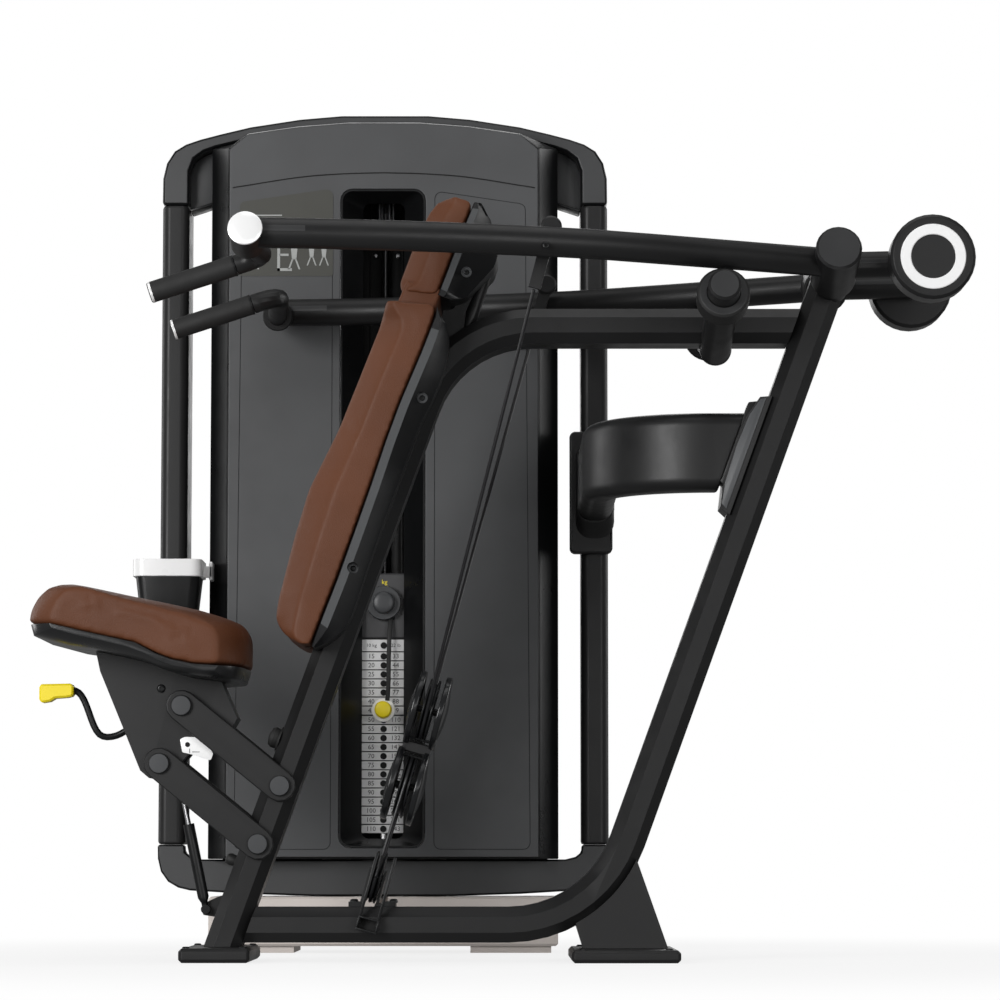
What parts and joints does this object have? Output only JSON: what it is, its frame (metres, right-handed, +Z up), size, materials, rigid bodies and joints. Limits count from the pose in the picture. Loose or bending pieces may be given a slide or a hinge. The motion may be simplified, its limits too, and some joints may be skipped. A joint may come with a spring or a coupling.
{
  "type": "shoulder press machine",
  "caption": "Seated shoulder press machine with converging swing arms, padded adjustable seat, cable drive and a covered selectable weight tower beside it.",
  "frame": {"origin": "on the floor, under the middle of the machine's overall length and width", "axes": "+X from the seat towards the counterweights behind the user, +Y towards the weight tower on the user's right, +Z up; the user faces -X"},
  "size_m": [1.5095, 1.2832, 1.4985],
  "materials": {
    "black_paint": "satin black powder coat",
    "cover_grey": "fine-textured dark grey moulded cover",
    "dark_trim": "near-black moulding",
    "brown_leather": "brown upholstery over foam",
    "shell_black": "textured black backing shell",
    "rubber": "matt black rubber",
    "base_beige": "warm silver paint",
    "steel": "ground steel",
    "stack_steel": "dark painted weight plates",
    "yellow": "yellow moulded control",
    "pin_grey": "dark grey moulding",
    "cable_black": "black coated steel cable"
  },
  "bodies": {
    "frame": {"front_frame_tube": "black_paint", "rear_frame_tube": "black_paint", "front_foot": "black_paint", "rear_foot": "black_paint", "arm_stop_bar": "black_paint", "left_stop_ring": "rubber", "right_stop_ring": "rubber", "upper_seat_stop": "rubber", "lower_seat_stop": "rubber", "back_pad": "brown_leather", "back_shell": "shell_black", "head_pad": "brown_leather", "head_shell": "shell_black", "tie_arm": "black_paint", "left_upright": "black_paint", "right_upright": "black_paint", "top_arch": "cover_grey", "bottom_rail": "cover_grey", "front_cover": "cover_grey", "rear_cover": "cover_grey", "window_bezel": "dark_trim", "base_box": "base_beige", "guide_frame": "steel", "resting_plates": "stack_steel", "bottle_cup": "dark_trim", "base_bracket": "black_paint", "lower_cable": "cable_black", "return_cable": "cable_black", "stack_cable": "cable_black"},
    "left_press_arm": {"left_arm": "black_paint", "left_handle": "black_paint", "left_grip": "rubber", "left_counterweight": "black_paint"},
    "right_press_arm": {"right_arm": "black_paint", "right_handle": "black_paint", "right_grip": "rubber", "right_counterweight": "black_paint"},
    "left_cable_run": {"left_cable_link": "black_paint", "left_upper_cable": "cable_black"},
    "right_cable_run": {"right_cable_link": "black_paint", "right_upper_cable": "cable_black"},
    "floating_block": {"pulley_block": "dark_trim"},
    "upper_pulley": {"upper_wheel": "pin_grey"},
    "lower_pulley": {"lower_wheel": "pin_grey"},
    "base_pulley": {"base_wheel": "pin_grey"},
    "floor_pulley": {"floor_wheel": "pin_grey"},
    "top_pulley": {"top_wheel": "pin_grey"},
    "moving_stack": {"head_plate": "dark_trim", "lifted_plates": "stack_steel"},
    "increment_dial": {"increment_knob": "pin_grey"},
    "weight_pin": {"selector_pin": "yellow"},
    "lower_seat_link": {"lower_link": "black_paint"},
    "upper_seat_link": {"upper_link": "black_paint"},
    "seat": {"seat_carriage": "black_paint", "seat_shell": "shell_black", "seat_pad": "brown_leather"},
    "seat_release": {"release_lever": "dark_trim", "lever_handle": "yellow"},
    "gas_tube": {"gas_spring_tube": "dark_trim"},
    "gas_rod": {"gas_spring_rod": "steel"}
  },
  "joints": [
    {"name": "left_arm_press", "type": "hinge", "parent": "frame", "child": "left_press_arm", "pos_m": [0.5362, -0.293, 1.11787], "axis": [0, 0.9736, -0.2284], "range_deg": [0, 35]},
    {"name": "right_arm_press", "type": "hinge", "parent": "frame", "child": "right_press_arm", "pos_m": [0.5362, -0.0238, 1.11787], "axis": [0, 0.9736, 0.2284], "range_deg": [0, 35]},
    {"name": "left_cable_swing", "type": "hinge", "parent": "left_press_arm", "child": "left_cable_run", "pos_m": [0.0762, -0.4704, 1.148], "axis": [-0.1318, -0.9809, 0.1433], "range_deg": [0, 35.1], "deforming": ["left_upper_cable"]},
    {"name": "right_cable_swing", "type": "hinge", "parent": "right_press_arm", "child": "right_cable_run", "pos_m": [0.0762, 0.1536, 1.148], "axis": [0.1318, -0.9809, -0.1433], "range_deg": [0, 35.1], "deforming": ["right_upper_cable"]},
    {"name": "block_lift", "type": "slide", "parent": "frame", "child": "floating_block", "axis": [0.2639, 0, 0.9646], "range_m": [0, 0.2525], "deforming": ["lower_cable"]},
    {"name": "upper_pulley_spin", "type": "hinge", "parent": "floating_block", "child": "upper_pulley", "pos_m": [-0.1208, -0.1584, 0.404], "axis": [0.9646, 0, -0.2639], "continuous": true},
    {"name": "lower_pulley_spin", "type": "hinge", "parent": "floating_block", "child": "lower_pulley", "pos_m": [-0.1578, -0.1584, 0.282], "axis": [0.9646, 0, -0.2639], "continuous": true},
    {"name": "base_pulley_spin", "type": "hinge", "parent": "frame", "child": "base_pulley", "pos_m": [-0.2038, -0.1584, 0.1345], "axis": [0.9646, 0, -0.2639], "continuous": true},
    {"name": "floor_pulley_spin", "type": "hinge", "parent": "frame", "child": "floor_pulley", "pos_m": [-0.2108, 0.5491, 0.1345], "axis": [1, 0, 0], "continuous": true},
    {"name": "top_pulley_spin", "type": "hinge", "parent": "frame", "child": "top_pulley", "pos_m": [-0.2108, 0.5491, 1.33], "axis": [1, 0, 0], "continuous": true},
    {"name": "stack_lift", "type": "slide", "parent": "frame", "child": "moving_stack", "axis": [0, 0, 1], "range_m": [0, 0.5045], "deforming": ["stack_cable"]},
    {"name": "increment_dial_turn", "type": "hinge", "parent": "moving_stack", "child": "increment_dial", "pos_m": [-0.2108, 0.4281, 0.618], "axis": [0, -1, 0], "range_deg": [0, 90]},
    {"name": "weight_pin_pull", "type": "slide", "parent": "moving_stack", "child": "weight_pin", "axis": [0, -1, 0], "range_m": [0, 0.12]},
    {"name": "seat_height", "type": "hinge", "parent": "frame", "child": "lower_seat_link", "pos_m": [-0.3928, -0.1584, 0.188], "axis": [0, 1, 0], "range_deg": [-28, 4]},
    {"name": "upper_link_follow", "type": "hinge", "parent": "frame", "child": "upper_seat_link", "pos_m": [-0.3578, -0.1584, 0.281], "axis": [0, 1, 0], "range_deg": [-28, 4]},
    {"name": "seat_level", "type": "hinge", "parent": "lower_seat_link", "child": "seat", "pos_m": [-0.5518, -0.1584, 0.317], "axis": [0, 1, 0], "range_deg": [-4, 28]},
    {"name": "release_pull", "type": "hinge", "parent": "seat", "child": "seat_release", "pos_m": [-0.5938, -0.1584, 0.3835], "axis": [0, 1, 0], "range_deg": [0, 12], "stiffness_Nm_per_rad": 1.5},
    {"name": "gas_tube_swing", "type": "hinge", "parent": "frame", "child": "gas_tube", "pos_m": [-0.4798, -0.1584, 0.083], "axis": [0, 1, 0], "range_deg": [-15.9, 2.3]},
    {"name": "gas_rod_swing", "type": "hinge", "parent": "seat", "child": "gas_rod", "pos_m": [-0.5388, -0.1584, 0.365], "axis": [0, 1, 0], "range_deg": [-15.9, 2.3]}
  ],
  "couplings": [
    {"joint": "right_arm_press", "follows": "left_arm_press", "ratio": 1},
    {"joint": "left_cable_swing", "follows": "left_arm_press", "ratio": 1},
    {"joint": "right_cable_swing", "follows": "left_arm_press", "ratio": 1},
    {"joint": "block_lift", "follows": "left_arm_press", "m_per_rad": 0.41203},
    {"joint": "lower_pulley_spin", "follows": "left_arm_press", "ratio": -8.2571},
    {"joint": "base_pulley_spin", "follows": "left_arm_press", "ratio": -20.915},
    {"joint": "floor_pulley_spin", "follows": "left_arm_press", "ratio": -20.915},
    {"joint": "top_pulley_spin", "follows": "left_arm_press", "ratio": -17.204},
    {"joint": "stack_lift", "follows": "left_arm_press", "m_per_rad": 0.82406},
    {"joint": "upper_link_follow", "follows": "seat_height", "ratio": 1},
    {"joint": "seat_level", "follows": "seat_height", "ratio": -1},
    {"joint": "gas_tube_swing", "follows": "seat_height", "ratio": 0.566},
    {"joint": "gas_rod_swing", "follows": "seat_height", "ratio": 0.566}
  ]
}
